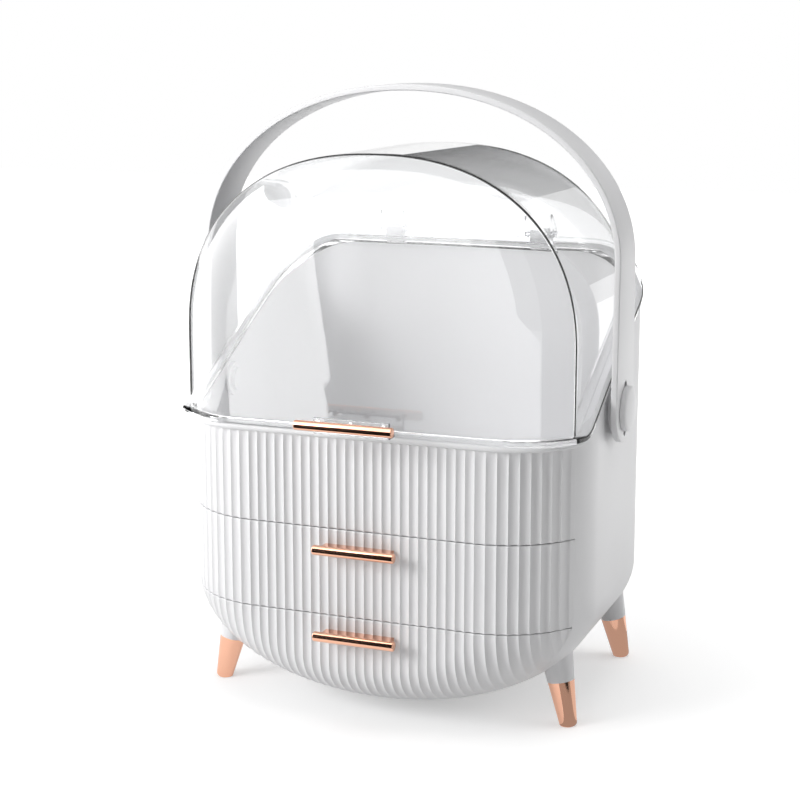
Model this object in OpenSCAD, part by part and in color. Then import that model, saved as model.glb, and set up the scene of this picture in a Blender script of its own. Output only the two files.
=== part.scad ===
// Countertop cosmetics box: an egg-fronted white housing with two drawers, a clear
// hinged lid, a swinging carry handle and four splayed legs.
// Millimetres. +Z is up, the front faces -Y, and the origin is on the floor at the
// middle of the overall footprint.

/* [Body] */
// Width of the housing
body_w = 280; // [274:1:284]
// Depth of the housing, flat front to flat back
body_d = 206; // [200:1:212]
// Where the flat front stands, from the middle of the footprint
front_y = -93; // [-96:1:-90]
// Height of the lowest point of the belly above the floor
belly_z = 5.3; // [4:0.1:12]
// Height of the curved belly, from its lowest point to the straight sides
belly_rise = 76.7; // [70:0.1:79]
// Radius of the front corners, in plan
front_r = 63.3; // [60:0.1:66]
// Radius of the rear corners, in plan
rear_r = 44; // [38:1:50]
// Width from the side of the housing to the edge of the fluted front
bezel_w = 7.2; // [6:0.1:9]
// Wall of the housing
wall = 2.5; // [2:0.1:3]

/* [Levels] */
// Height of the lower drawer's front at its middle
lower_h = 68.4; // [62:0.1:72]
// Height of the upper drawer's front
upper_h = 58.3; // [54:0.1:62]
// Height of the fixed fluted panel
panel_h = 60; // [54:0.1:66]
// Height of the white lip round the top of the housing
lip_h = 4; // [3:0.1:5]
// Width of a seam between two fronts
seam = 0.8; // [0.5:0.1:1.2]
// Rise of the rim per millimetre along the sides
rim_slope = 0.53; // [0.5:0.01:0.56]
// Depth position where the rim turns steeper, behind the sides
rim_turn_y = 90; // [86:1:94]
// Height of the rim over the back
rim_back_z = 299; // [296:1:302]

/* [Fluting] */
// Pitch of the flutes on the flat front
flute_pitch = 6.25; // [5.5:0.05:7.5]
// Pitch of the flutes round the corners
corner_pitch = 7.2; // [6.5:0.05:8]
// Depth of a flute
flute_depth = 1.1; // [0.8:0.1:1.5]
// Thickness of the fluted fronts
front_t = 2.5; // [2:0.1:3]

/* [Drawers] */
// Gap between the upper tray and the housing's collar, on each side
upper_tray_gap = 3.5; // [2.5:0.5:8]
// Gap between the lower tray and the housing's collar, on each side
lower_tray_gap = 11.5; // [10:0.5:14]
// Height of the lower tray's curved bottom
lower_tray_rise = 54; // [50:0.5:55]
// How far the lower tray's front wall stays behind its fluted front
lower_tray_set = 9; // [8:0.5:12]
// Where the trays end at the back
tray_back_y = 80; // [74:1:86]
// Wall of the trays
tray_t = 2; // [1.6:0.1:2.4]
// How much rounder the upper tray's front corners are than its front's
tray_round = 5; // [4:0.5:8]
// Thickness of the shelf and the deck
shelf_t = 2; // [1.6:0.1:2.4]
// Height of the upper tray's walls
upper_tray_h = 50; // [44:1:52]
// Gap under a sliding tray
slide_gap = 0.3; // [0.2:0.05:0.4]
// Distance of the lower tray's runners from the middle
runner_x = 60; // [54:1:66]
// Width of a runner
runner_w = 6; // [5:0.5:8]
// Height of a runner
runner_h = 2.6; // [2.4:0.1:3]

/* [Pulls] */
// Diameter of the pull bars
pull_d = 6.5; // [5.5:0.1:7.5]
// Length of a drawer pull
pull_len = 56; // [52:1:66]
// Length of the lid's pull
lid_pull_len = 66; // [60:1:74]
// Reach of a drawer pull's axis in front of the flat front
pull_reach = 10; // [9:0.5:16]
// Drop of a drawer pull's axis below the top of its front
pull_drop = 11.9; // [9:0.1:14]
// Width of the web that carries a drawer pull
web_w = 47; // [42:1:54]
// Thickness of that web
web_t = 4; // [3.6:0.1:4.4]
// Spacing of the two screws of a drawer pull
pull_screw_gap = 30; // [26:1:34]
// Reach of the lid pull's axis in front of the flat front
lid_pull_reach = 25; // [23:0.5:26]
// Height of the lid pull's axis above the rim
lid_pull_up = 8.8; // [8:0.1:10]
// Width of the clear bracket of the lid's pull
bracket_w = 51; // [46:1:54]
// Distance of the bracket's outer pegs from the middle
peg_x = 22; // [19:1:23]
// Radius of the pegs
peg_r = 1.6; // [1.3:0.1:1.8]
// Height of the bracket's upright plate
plate_h = 10.4; // [9:0.1:12]
// Thickness of that plate
plate_t = 2.4; // [2:0.1:3]
// Thickness of the bracket's flat strip
strip_t = 3; // [2.5:0.1:3.5]

/* [Lid] */
// How far the clear lid's sides stand inside the sides of the housing
lid_in = 6; // [5.5:0.5:8]
// Height where the lid's arch starts
arch_z = 250; // [246:1:254]
// Rise of the lid's arch
arch_rise = 121; // [118:1:122]
// Squareness of the lid's arch: 2 is an ellipse
arch_n = 2.28; // [2.1:0.02:2.4]
// Angle that the lid's front corners turn through before the crisp edge
lid_edge_deg = 55; // [50:1:60]
// Thickness of the clear plastic
clear_t = 2; // [1.6:0.1:2.4]
// Radius of the lid's rear edges
lid_rear_r = 40; // [36:1:44]
// Height of the lid's flange
flange_h = 4; // [3:0.1:5]
// How far the lid's flange stands out from the side of the housing
flange_out = 1.6; // [1:0.1:2]
// Corner radius of the flange, in plan
flange_r = 45; // [40:1:50]
// Gap between the lid's flange and the white lip
lid_gap = 0.2; // [0.1:0.05:0.4]

/* [Lid hinge] */
// Distance of each hinge from the middle
hinge_x = 56; // [50:1:62]
// Width of a hinge, over its two clear ears
hinge_w = 20; // [18:1:24]
// Thickness of a clear ear
ear_t = 2.6; // [2:0.1:3]
// Distance of the hinge axis behind the back of the housing
hinge_back = 3.7; // [3.4:0.1:4]
// Height of the hinge axis above the rim over the back
hinge_up = 5.2; // [5:0.1:6]
// Radius of the hinge barrels
barrel_r = 4.3; // [4:0.1:4.6]
// Radius of the hinge pins
hinge_pin_r = 1.5; // [1.3:0.1:1.8]
// Radial clearance of the pins in the clear ears
pin_gap = 0.05; // [0.02:0.01:0.08]
// Height of the clear ears above the hinge axis
ear_up = 14; // [11:0.5:16]

/* [Carry handle] */
// Gap between the side of the housing and the handle's strip
handle_clear = 3.7; // [3.2:0.1:4.5]
// Thickness of the handle strip
handle_t = 4.2; // [3.6:0.1:4.4]
// Height of the start of the handle's arch above the start of the lid's
handle_lift = 50; // [46:1:54]
// Rise of the handle's arch
handle_rise = 113; // [111:1:116]
// Squareness of the handle's arch
handle_n = 2.09; // [2:0.01:2.2]
// Width of the strip at the top
handle_top_w = 34; // [30:1:38]
// Width of the strip at the pivots
handle_end_w = 45; // [42:1:48]
// Depth position of the pivots
pivot_y = 4; // [2:0.5:6]
// Height of the pivots
pivot_z = 205; // [202:0.5:208]
// Radius of the pivot shafts
pivot_r = 8; // [7:0.1:9]
// Radial clearance of the shafts in the handle
pivot_gap = 0.06; // [0.02:0.01:0.09]
// Radius of the round buttons
button_r = 15; // [13:0.1:16]
// Height of the round buttons
button_h = 5; // [2.5:0.1:6]
// Length of the keyhole slot through the handle's ends
slot_len = 37; // [34:0.5:38]
// Width of that slot
slot_w = 6; // [5:0.1:7]
// Thickness of the friction washers
washer_t = 1.2; // [0.8:0.1:1.6]
// Gap on each side of the handle's end
side_gap = 0.15; // [0.1:0.01:0.2]

/* [Legs] */
// How far the feet stand inside the sides of the housing
foot_in = 14.4; // [12:0.2:18]
// How far the front feet stand behind the flat front
foot_back = 53.7; // [50:0.1:57]
// How far the rear feet stand in front of the back
foot_fore = 11.5; // [10:0.1:15]
// Splay across, per millimetre of height
splay_x = 0.21; // [0.18:0.01:0.24]
// Splay along, per millimetre of height
splay_y = 0.07; // [0.05:0.01:0.09]
// Radius of the leg at its foot
foot_r = 6; // [5.5:0.1:6.5]
// Radius of the leg at the top of its metal cap
cap_r = 9; // [8.5:0.1:9.5]
// Length of the metal cap
cap_len = 30; // [28:0.5:32]
// Wall of the metal cap
cap_t = 1.5; // [1:0.1:2]
// Length of the whole leg along its axis, before the belly cuts it
leg_len = 78; // [74:1:80]
// Radius of the leg screws
leg_screw_r = 2; // [1.6:0.1:2.2]
// Length of the leg screws under the head
leg_screw_len = 26; // [22:0.5:30]
// Height of the head of a leg screw
leg_head_h = 2.2; // [1.8:0.1:2.6]

/* [Hidden] */
$fn = 64;
half = body_w / 2;
rear_y = front_y + body_d;
spring_z = belly_z + belly_rise;          // the sides are straight above this height
corner_x = half - front_r;                // the flat front ends here
corner_y = front_y + front_r;             // centre of the front corners, along Y
front_half = half - bezel_w;              // half width of the fluted front
edge_deg = asin((front_half - corner_x) / front_r);
edge_y = corner_y - front_r * cos(edge_deg);   // edge of the fluted front, along Y
front_rise = belly_rise * front_half / half;   // curved part of the fluted front
front_gap = 0.5;                          // gap between a front and the housing's edge
edge_t = 1;                               // thickness of a front at its edge
shell_y = edge_y + edge_t + front_gap;    // front edge of the housing
shell_deg = acos((corner_y - shell_y) / front_r);
lower_top = belly_z + lower_h;
upper_top = lower_top + upper_h;
panel_top = upper_top + panel_h;
rim_z = panel_top + lip_h;
rim_turn_z = rim_z + rim_slope * (rim_turn_y - shell_y);
collar_in = bezel_w + 1.3;                // how far the front collar reaches inwards
collar_d = 16;
collar_y = shell_y + collar_d;
notch_gap = 1.8;                          // between the collar and the notch in a flat panel
shelf_top = lower_top + 1.5;
deck_z = upper_top + 2;
upper_tray_z = shelf_top + slide_gap;
collar_half = half - collar_in;
upper_tray_half = collar_half - upper_tray_gap;
lower_tray_half = collar_half - lower_tray_gap;
lower_tray_top = lower_top - 3.7;
runner_z = spring_z - lower_tray_rise * sqrt(1 - pow(runner_x / lower_tray_half, 2)) - 2.2;
upper_pull_z = upper_top - pull_drop;
lower_pull_z = lower_top - pull_drop + 0.4;
pull_y = front_y - pull_reach;
lid_pull_y = front_y - lid_pull_reach;
lid_pull_z = rim_z + lid_pull_up;
plate_y = front_y - 13;                   // front face of the bracket's upright plate
flange_y = front_y - 3;                   // front edge of the lid's flange
lid_half = half - lid_in;
lid_corner_x = lid_half - front_r * sin(lid_edge_deg);
lid_corner_y = front_y + front_r;
lid_rear_y = rear_y - 4;
hinge_y = rear_y + hinge_back;
hinge_z = rim_back_z + hinge_up;
handle_half = half + handle_clear + handle_t;
handle_arch_z = arch_z + handle_lift;
foot_x = half - foot_in;
foot_front_y = front_y + foot_back;
foot_rear_y = rear_y - foot_fore;
leg_head_r = 2 * leg_screw_r;
boss_r = button_r + 1;
boss_x = handle_half - handle_t - washer_t - side_gap;
button_x = handle_half + side_gap;
nut_t = 3;
taper = (cap_r - foot_r) / cap_len;       // of the whole leg
spigot_z = 6;                             // bottom of the leg's spigot, inside the cap
spigot_gap = 0.05;                        // radial, between the spigot and the cap
support_r = 8;                            // of the housing's boss over each leg
pull_screw_r = 1.2;
corner_len = front_r * edge_deg * PI / 180;    // round one corner of the fluted front
flat_n = 2 * floor(corner_x / flute_pitch);    // columns in half of its flat part
corner_n = 2 * floor(corner_len / corner_pitch);
tap = 0.3;                                // screws are this much slimmer than their clearance holes
reach = 400;                              // longer than anything here, for cutting

// ---- Shapes that several pieces share ----

// One closed ring: straight sides down to spring_z, then a half ellipse below
function egg_ring(h, rise, y, top, n = 32) = concat([[h, y, top]],
    [for (i = [0:n]) let (t = 180 * i / n) [h * cos(t), y, spring_z - rise * sin(t)]],
    [[-h, y, top]]);

// One closed ring of the lid: an arch on straight sides that reach down to z = low
function arch_ring(h, rise, y, low, n = 36) = concat([[-h, y, low]],
    [for (i = [0:n]) let (t = 180 - 180 * i / n)
        [h * pw(cos(t), arch_n), y, arch_z + rise * pw(sin(t), arch_n)]],
    [[h, y, low]]);

// The superellipse's coordinate for one sine or cosine
function pw(v, n) = sign(v) * pow(abs(v), 2 / n);

// A solid skinned over rings that all have the same number of points
module loft(rings) {
    n = len(rings[0]);
    m = len(rings);
    polyhedron(
        points = [for (r = rings) for (p = r) p],
        faces = concat(
            [[for (i = [0:n - 1]) i]],
            [[for (i = [0:n - 1]) (m - 1) * n + n - 1 - i]],
            [for (j = [0:m - 2]) for (i = [0:n - 1]) let (k = (i + 1) % n)
                [j * n + i, (j + 1) * n + i, j * n + k]],
            [for (j = [0:m - 2]) for (i = [0:n - 1]) let (k = (i + 1) % n)
                [j * n + k, (j + 1) * n + i, (j + 1) * n + k]]));
}

// The outside of the housing, tall enough for the rim to be cut from it
module housing_outer() {
    loft(concat(
        [for (i = [0:5]) let (a = shell_deg + (90 - shell_deg) * i / 5,
            h = corner_x + front_r * sin(a))
            egg_ring(h, belly_rise * h / half, corner_y - front_r * cos(a), reach)],
        [for (i = [0:8]) let (a = 90 * i / 8, h = half - rear_r * (1 - cos(a)))
            egg_ring(h, belly_rise * h / half, rear_y - rear_r + rear_r * sin(a), reach)]));
}

// The room inside the housing, with a narrower collar at the front
module housing_room() {
    r = rear_r - wall;
    c = collar_half;
    w = half - wall;
    loft(concat(
        [egg_ring(c, belly_rise * c / half, shell_y - 1, reach + 1),
            egg_ring(c, belly_rise * c / half, collar_y, reach + 1),
            egg_ring(w - 1.2, belly_rise * (w - 1.2) / half - wall / 2, collar_y + 3, reach + 1),
            egg_ring(w, belly_rise * w / half - wall / 2, collar_y + 13, reach + 1)],
        [for (i = [0:8]) let (a = 90 * i / 8, h = w - r * (1 - cos(a)))
            egg_ring(h, belly_rise * h / half - wall / 2, rear_y - rear_r + r * sin(a), reach + 1)]));
}

// A rounded plan outline: half width, front and back edges, front and rear corner radii
module plan(h, front, back, rf, rr) {
    polygon(concat(
        [for (i = [0:12]) let (a = 90 * i / 12) [h - rf + rf * sin(a), front + rf - rf * cos(a)]],
        [for (i = [0:12]) let (a = 90 * i / 12) [h - rr + rr * cos(a), back - rr + rr * sin(a)]],
        [for (i = [0:12]) let (a = 90 * i / 12) [-h + rr - rr * sin(a), back - rr + rr * cos(a)]],
        [for (i = [0:12]) let (a = 90 * i / 12) [-h + rf - rf * cos(a), front + rf - rf * sin(a)]]));
}

// The housing's own plan outline, moved in by some distance
module body_plan(in = 0) {
    plan(half - in, front_y + in, rear_y - in, front_r - in, rear_r - in);
}

// The clear lid's plan outline, moved in by some distance, with its crisp front edges
module lid_plan(in = 0) {
    r = front_r - in;
    rr = lid_rear_r - in;
    h = lid_half - in;
    e = asin((h - lid_corner_x) / r);
    right = concat(
        [for (i = [0:10]) let (a = e * i / 10) [lid_corner_x + r * sin(a), lid_corner_y - r * cos(a)]],
        [for (i = [0:10]) let (a = 90 * i / 10) [h - rr + rr * cos(a), lid_rear_y - in - rr + rr * sin(a)]]);
    polygon(concat(right, [for (i = [len(right) - 1:-1:0]) [-right[i][0], right[i][1]]]));
}

// Everything above the rim line, raised by dz, as a slab across the whole width
module above_rim(dz) {
    rotate([90, 0, 90]) linear_extrude(2 * reach, center = true)
        polygon([[-reach, rim_z + dz], [shell_y, rim_z + dz], [rim_turn_y, rim_turn_z + dz],
            [rear_y, rim_back_z + dz], [reach, rim_back_z + dz], [reach, 2 * reach], [-reach, 2 * reach]]);
}

// The band between two heights over the rim line
module rim_band(lo, hi) {
    intersection() {
        children();
        difference() {
            above_rim(lo);
            above_rim(hi);
        }
    }
}

// A flat profile in Y and Z, pulled across X from x0 to x1
module across(x0, x1) {
    translate([x0, 0, 0]) rotate([90, 0, 90]) linear_extrude(x1 - x0) children();
}

// ---- The fluted fronts ----

// Where the front stands, along Y, at a level s: 0 in the middle and 1 at its edge
function front_at(s) = let (x = s * front_half - corner_x)
    x <= 0 ? front_y : corner_y - sqrt(max(0, front_r * front_r - x * x));
// Thickness along Y, so that the wall keeps its gauge where the front turns
function gauge_at(s) = let (x = min(1, max(0, s * front_half - corner_x) / front_r))
    front_t / max(0.3, sqrt(1 - x * x));
// Lowest point of the front at a place across
function front_low(x) = spring_z - front_rise * sqrt(max(0, 1 - pow(x / front_half, 2)));
// Level of a point on the front
function level(x, z) = z >= spring_z ? abs(x) / front_half :
    sqrt(pow(x / front_half, 2) + pow((spring_z - z) / front_rise, 2));
// Columns across the front, two to a flute, as [place across, groove or crest]
function column(i) = let (a = abs(i), s = sign(i))
    a <= flat_n ? [i * corner_x / flat_n, a % 2] :
    let (t = edge_deg * (a - flat_n) / corner_n)
        [s * (corner_x + front_r * sin(t)), a == flat_n + corner_n ? 0 : a % 2];

// A piece of the fluted front between two heights
module fluted(z0, z1, rows) {
    last = flat_n + corner_n;
    cols = [for (i = [-last:last]) let (c = column(i)) if (front_low(c[0]) < z1 - 0.5) c];
    n = len(cols);
    front = [for (c = cols) for (j = [0:rows])
        let (lo = max(z0, front_low(c[0])), z = z1 + (lo - z1) * j / rows, s = min(1, level(c[0], z)),
            fade = min(1, (1 - s) * 12))
        [c[0], front_at(s) + flute_depth * c[1] * fade, z]];
    back = [for (c = cols) for (j = [0:rows])
        let (lo = max(z0, front_low(c[0])), z = z1 + (lo - z1) * j / rows, s = min(1, level(c[0], z)))
        [c[0], min(front_at(s) + gauge_at(s), edge_y + edge_t), z]];
    r = rows + 1;
    b = n * r;
    polyhedron(points = concat(front, back), faces = concat(
        [for (i = [0:n - 2]) for (j = [0:rows - 1]) [i * r + j, (i + 1) * r + j, i * r + j + 1]],
        [for (i = [0:n - 2]) for (j = [0:rows - 1]) [i * r + j + 1, (i + 1) * r + j, (i + 1) * r + j + 1]],
        [for (i = [0:n - 2]) for (j = [0:rows - 1]) [b + i * r + j, b + i * r + j + 1, b + (i + 1) * r + j]],
        [for (i = [0:n - 2]) for (j = [0:rows - 1])
            [b + i * r + j + 1, b + (i + 1) * r + j + 1, b + (i + 1) * r + j]],
        [for (i = [0:n - 2]) [i * r, b + i * r, (i + 1) * r]],
        [for (i = [0:n - 2]) [b + i * r, b + (i + 1) * r, (i + 1) * r]],
        [for (i = [0:n - 2]) [i * r + rows, (i + 1) * r + rows, b + i * r + rows]],
        [for (i = [0:n - 2]) [b + i * r + rows, (i + 1) * r + rows, b + (i + 1) * r + rows]],
        [for (j = [0:rows - 1]) [j, j + 1, b + j]],
        [for (j = [0:rows - 1]) [b + j, j + 1, b + j + 1]],
        [for (j = [0:rows - 1]) [(n - 1) * r + j, b + (n - 1) * r + j, (n - 1) * r + j + 1]],
        [for (j = [0:rows - 1]) [b + (n - 1) * r + j, b + (n - 1) * r + j + 1, (n - 1) * r + j + 1]]));
}

// ---- Housing ----

// Places and directions of the four legs: sx is -1 at the left, sy is -1 at the front
function foot(sx, sy) = [sx * foot_x, sy < 0 ? foot_front_y : foot_rear_y, 0];
function foot_turn(sx, sy) = [atan(sy * splay_y) , -sx * atan(splay_x), 0];
// Puts children along a leg's own axis, with its foot at the origin
module on_leg(sx, sy) {
    translate(foot(sx, sy)) rotate(foot_turn(sx, sy)) children();
}
// Height along the leg's axis of the seat of its screw, inside the housing
function screw_seat(sy) = sy < 0 ? 54 : 65;

module housing_shell() {
    color("white") difference() {
        union() {
            difference() {
                union() {
                    difference() {
                        housing_outer();
                        housing_room();
                    }
                    intersection() {
                        housing_outer();
                        housing_supports();
                    }
                }
                above_rim(-lip_h);
            }
            for (s = [-1, 1]) {
                pivot_boss(s);
                hinge_knuckle(s);
            }
        }
        for (s = [-1, 1]) {
            translate([s * (half - wall - 5), pivot_y, pivot_z]) rotate([0, s * 90, 0])
                cylinder(r = pivot_r + pivot_gap, h = 30);
            for (f = [-1, 1])
                on_leg(s, f) translate([0, 0, 20]) cylinder(r = leg_screw_r + tap, h = 80);
        }
    }
}

// Two rails under the lower tray, and a boss over each leg
module housing_supports() {
    for (s = [-1, 1]) {
        translate([s * runner_x - runner_w / 2 - 1, collar_y, belly_z])
            cube([runner_w + 2, rear_y - collar_y - 1, runner_z - slide_gap - belly_z]);
        for (f = [-1, 1])
            on_leg(s, f) cylinder(r = support_r, h = screw_seat(f));
    }
}

// The round boss on one side, which keeps the handle off the housing
module pivot_boss(s) {
    translate([s * (half - wall), pivot_y, pivot_z]) rotate([0, s * 90, 0])
        cylinder(r = boss_r, h = boss_x - side_gap - half + wall);
}

// The white knuckle of one hinge, on the back of the housing, with its bore
module hinge_knuckle(s) {
    w = hinge_w / 2 - ear_t - 0.4;
    difference() {
        across(s * hinge_x - w, s * hinge_x + w) {
            translate([hinge_y, hinge_z]) circle(r = barrel_r);
            polygon([[rear_y - wall / 2, rim_back_z - 22], [rear_y, rim_back_z - 24],
                [hinge_y + barrel_r, hinge_z - 14], [hinge_y + barrel_r, hinge_z],
                [rear_y + 1.4, hinge_z - 1], [rear_y + 1.4, rim_back_z - lip_h - 0.4],
                [rear_y - wall / 2, rim_back_z - lip_h - wall]]);
        }
        across(s * hinge_x - hinge_w, s * hinge_x + hinge_w)
            translate([hinge_y, hinge_z]) circle(r = hinge_pin_r);
    }
}

module rim_lip() {
    color("white") rim_band(-lip_h, 0) linear_extrude(reach) difference() {
        plan(half + 0.6, front_y - 1.5, rear_y + 1, front_r - 10, rear_r + 1);
        plan(half - 3, front_y + 3, rear_y - 3, front_r - 3, rear_r - 3);
    }
}

module upper_front_panel() {
    color("whitesmoke") fluted(upper_top + seam / 2, panel_top - 0.1, 1);
}

module top_deck() {
    color("white") translate([0, 0, deck_z]) linear_extrude(shelf_t) difference() {
        body_plan(front_t + 0.3);
        collar_notches(edge_y + edge_t - 3);
    }
}

// Where the collar of the housing stands in the way of a flat panel
module collar_notches(from) {
    for (s = [-1, 1])
        translate([s * (collar_half - notch_gap + 20), (from + collar_y + 13.5) / 2])
            square([40, collar_y + 13.5 - from], center = true);
}

module middle_shelf() {
    color("white") translate([0, 0, shelf_top - shelf_t]) linear_extrude(shelf_t) difference() {
        body_plan(wall + 1.5);
        collar_notches(shell_y - 1);
        translate([0, shell_y + 1.5 - reach]) square(2 * reach, center = true);
    }
}

// ---- Drawers ----

module upper_drawer_tray() {
    color("white") difference() {
        translate([0, 0, upper_tray_z]) linear_extrude(upper_tray_h)
            tray_plan(upper_tray_half, front_t + 0.1);
        translate([0, 0, upper_tray_z + tray_t]) linear_extrude(upper_tray_h)
            tray_plan(upper_tray_half - tray_t, front_t + 0.1 + tray_t, tray_t);
        pull_screw_holes(upper_pull_z, tap);
    }
}

// A tray's plan: the front outline moved in with rounder corners, straight sides and back
module tray_plan(h, in, back_in = 0) {
    intersection() {
        plan(half - in, front_y + in, rear_y - in, front_r - in + tray_round, rear_r - in);
        translate([-h, front_y]) square([2 * h, tray_back_y - back_in - front_y]);
    }
}

// The two holes along Y for the screws of a pull
module pull_screw_holes(z, gap) {
    for (s = [-1, 1])
        translate([s * pull_screw_gap / 2, front_y - 9, z]) rotate([-90, 0, 0])
            cylinder(r = pull_screw_r + gap, h = 40);
}

module upper_drawer_front() {
    color("whitesmoke") difference() {
        fluted(lower_top + seam / 2, upper_top - seam / 2, 3);
        pull_screw_holes(upper_pull_z, tap);
    }
}

module lower_drawer_front() {
    color("whitesmoke") difference() {
        fluted(0, lower_top - seam / 2, 8);
        pull_screw_holes(lower_pull_z, tap);
    }
}

// A bar across the front with a web back to the front
module drawer_pull(z) {
    color("#d9a08a") difference() {
        union() {
            translate([-pull_len / 2, pull_y, z]) rotate([0, 90, 0]) cylinder(d = pull_d, h = pull_len);
            translate([-web_w / 2, pull_y, z - web_t / 2])
                cube([web_w, front_y - 0.1 - pull_y, web_t]);
        }
        intersection() {
            pull_screw_holes(z, 0);
            translate([0, front_y, z]) cube([web_w, 18, web_t], center = true);
        }
    }
}

module upper_drawer_pull() { drawer_pull(upper_pull_z); }
module lower_drawer_pull() { drawer_pull(lower_pull_z); }

// Two screws along Y: the head bears on the inside of the tray's front wall
module pull_screws(z, seat_y) {
    color("silver") for (s = [-1, 1])
        translate([s * pull_screw_gap / 2, 0, z]) rotate([90, 0, 0]) {
            translate([0, 0, -seat_y]) cylinder(r = pull_screw_r, h = seat_y - front_y + 8);
            translate([0, 0, -seat_y - 1.6]) cylinder(r = pull_screw_r + 1.4, h = 1.6);
        }
}

module upper_pull_screws() { pull_screws(upper_pull_z, front_y + front_t + 0.1 + tray_t); }
module lower_pull_screws() { pull_screws(lower_pull_z, front_y + lower_tray_set + tray_t); }

// Where the inner face of a fluted front stands, as a level, at a depth y
function inner_level(y) =
    (corner_x + sqrt(max(0, pow(front_r - front_t, 2) - pow(corner_y - y, 2)))) / front_half;

// The lower tray as a solid, moved in by some distance: it follows the belly and stays
// clear of the inner face of the drawer's front
module belly_tray(in) {
    y0 = front_y + lower_tray_set;
    ys = [for (i = [0:6]) y0 + (edge_y - y0) * i / 6];
    loft(concat(
        [for (y = ys) let (s = inner_level(y)) egg_ring(min(lower_tray_half, s * front_half - 2) - in,
            min(lower_tray_rise, s * front_rise - 2) - in, y + in, spring_z + 5)],
        [egg_ring(lower_tray_half - in, lower_tray_rise - in, tray_back_y - in, spring_z + 5)]));
}

module lower_drawer_tray() {
    color("white") difference() {
        union() {
            intersection() {
                belly_tray(0);
                linear_extrude(lower_tray_top) square(2 * reach, center = true);
            }
            for (s = [-1, 1]) {
                translate([s * runner_x - runner_w / 2, collar_y - 20, runner_z])
                    cube([runner_w, tray_back_y - collar_y + 20, runner_h]);
                translate([s * pull_screw_gap / 2, front_y + lower_tray_set + 1, lower_pull_z])
                    rotate([90, 0, 0]) cylinder(r = 3.5, h = lower_tray_set + 1 - front_t - 0.1);
            }
        }
        belly_tray(tray_t);
        pull_screw_holes(lower_pull_z, tap);
    }
}

// ---- Lid ----

// The clear dome as a solid, moved in by some distance
module dome(in) {
    r = front_r - in;
    rr = lid_rear_r - in;
    h = lid_half - in;
    e = asin((h - lid_corner_x) / r);
    loft(concat(
        [for (i = [0:6]) let (a = e * i / 6, w = lid_corner_x + r * sin(a))
            arch_ring(w, (arch_rise - in) * w / h, lid_corner_y - r * cos(a), panel_top - in)],
        [for (i = [0:8]) let (a = 90 * i / 8, d = rr * (1 - cos(a)))
            arch_ring(h - d, arch_rise - in - d, lid_rear_y - lid_rear_r + rr * sin(a), panel_top - in)]));
}

module lid_dome() {
    color("lightcyan", 0.35) difference() {
        union() {
            difference() {
                intersection() {
                    dome(0);
                    above_rim(lid_gap);
                }
                dome(clear_t);
            }
            rim_band(lid_gap, flange_h) linear_extrude(reach) difference() {
                plan(half + flange_out, flange_y, rear_y + 2, flange_r, rear_r + 2);
                lid_plan(clear_t);
            }
            for (s = [-1, 1])
                hinge_ears(s);
        }
        for (s = [-1, 1]) {
            w = hinge_w / 2 - ear_t;
            across(s * hinge_x - w, s * hinge_x + w) {
                translate([hinge_y, hinge_z]) circle(r = barrel_r + 0.5);
                translate([rear_y - 0.2, rim_back_z - 1]) square([10, hinge_z - rim_back_z + 1]);
            }
            across(s * hinge_x - hinge_w, s * hinge_x + hinge_w)
                translate([hinge_y, hinge_z]) circle(r = hinge_pin_r + pin_gap);
        }
    }
}

// The two clear ears of one hinge
module hinge_ears(s) {
    for (e = [-1, 1]) {
        x = s * hinge_x + e * (hinge_w - ear_t) / 2;
        across(x - ear_t / 2, x + ear_t / 2) {
            translate([hinge_y, hinge_z]) circle(r = barrel_r);
            polygon([[lid_rear_y - clear_t / 2, rim_back_z + 1], [rear_y + 1, rim_back_z + 1],
                [hinge_y, hinge_z - barrel_r + 0.2], [hinge_y + barrel_r, hinge_z],
                [lid_rear_y + 1, hinge_z + ear_up], [lid_rear_y - clear_t / 2, hinge_z + ear_up]]);
        }
    }
}

// The flat strip and the upright plate in front of the flange, with the pegs for the bar
module lid_pull_bracket() {
    color("lightcyan", 0.5) {
        translate([-bracket_w / 2, plate_y, rim_z + 1])
            cube([bracket_w, flange_y - 0.1 - plate_y, strip_t]);
        translate([-bracket_w / 2, plate_y, rim_z + 1]) cube([bracket_w, plate_t, plate_h]);
        for (x = [-peg_x, 0, peg_x])
            translate([x, plate_y + 1, lid_pull_z]) rotate([90, 0, 0])
                cylinder(r = peg_r, h = plate_y + 1 - lid_pull_y);
    }
}

module lid_pull_bar() {
    color("#d9a08a") difference() {
        translate([-lid_pull_len / 2, lid_pull_y, lid_pull_z]) rotate([0, 90, 0])
            cylinder(d = pull_d, h = lid_pull_len);
        for (x = [-peg_x, 0, peg_x])
            translate([x, lid_pull_y - 0.1, lid_pull_z]) rotate([-90, 0, 0])
                cylinder(r = peg_r + 0.05, h = pull_d);
    }
}

module hinge_pins() {
    color("silver") for (s = [-1, 1])
        across(s * hinge_x - hinge_w / 2 - 0.5, s * hinge_x + hinge_w / 2 + 0.5)
            translate([hinge_y, hinge_z]) circle(r = hinge_pin_r);
}

// ---- Carry handle ----

// The arch of the handle, in X and Z, moved in by some distance
module handle_arch(in, low) {
    h = handle_half - in;
    polygon(concat([[-h, low]],
        [for (i = [0:48]) let (t = 180 - 180 * i / 48)
            [h * sign(cos(t)) * pow(abs(cos(t)), 2 / handle_n),
            handle_arch_z + (handle_rise - in) * pow(sin(t), 2 / handle_n)]],
        [[h, low]]));
}

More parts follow.
